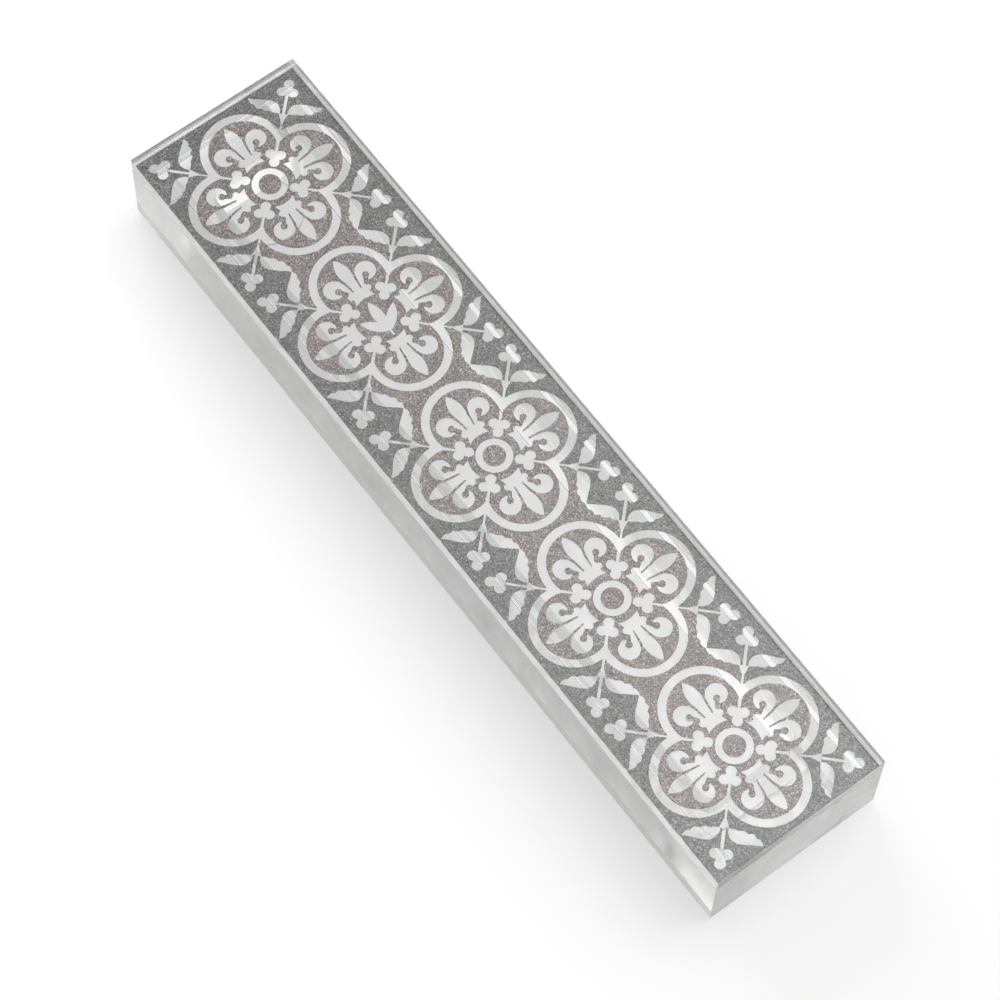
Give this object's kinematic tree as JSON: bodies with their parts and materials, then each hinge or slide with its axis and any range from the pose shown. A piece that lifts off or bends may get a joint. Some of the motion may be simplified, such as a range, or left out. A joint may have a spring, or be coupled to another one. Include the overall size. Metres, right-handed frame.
{
  "type": "mezuzah case",
  "caption": "Clear laminated acrylic scroll case for a doorpost, with a glitter-printed quatrefoil face, a closed scroll channel and a back cover that slides out.",
  "frame": {"origin": "middle of the back plane that faces the doorpost, on the outside of the tape liners", "axes": "+X along the case towards its lower end, +Y across it to the right as seen from the front, +Z out of the decorated face; the case lies on its back"},
  "size_m": [0.15, 0.0316, 0.017],
  "materials": {
    "clear_acrylic": "clear polished acrylic sheet",
    "clear_film": "optically clear adhesive film",
    "cool_glitter_print": "fine cool grey glitter ink",
    "warm_glitter_print": "fine warm grey glitter ink",
    "foam_tape": "translucent acrylic foam tape",
    "liner_paper": "siliconised release paper"
  },
  "bodies": {
    "case": {"front_sheet": "clear_acrylic", "glitter_border": "cool_glitter_print", "glitter_motifs": "warm_glitter_print", "bonding_film": "clear_film", "core_block": "clear_acrylic", "left_rail": "clear_acrylic", "right_rail": "clear_acrylic", "end_stop": "clear_acrylic", "left_tape": "foam_tape", "right_tape": "foam_tape", "left_liner": "liner_paper", "right_liner": "liner_paper"},
    "cover": {"sliding_cover": "clear_acrylic"}
  },
  "joints": [
    {"name": "cover_slide", "type": "slide", "parent": "case", "child": "cover", "axis": [-1, 0, 0], "range_m": [0, 0.145]}
  ]
}
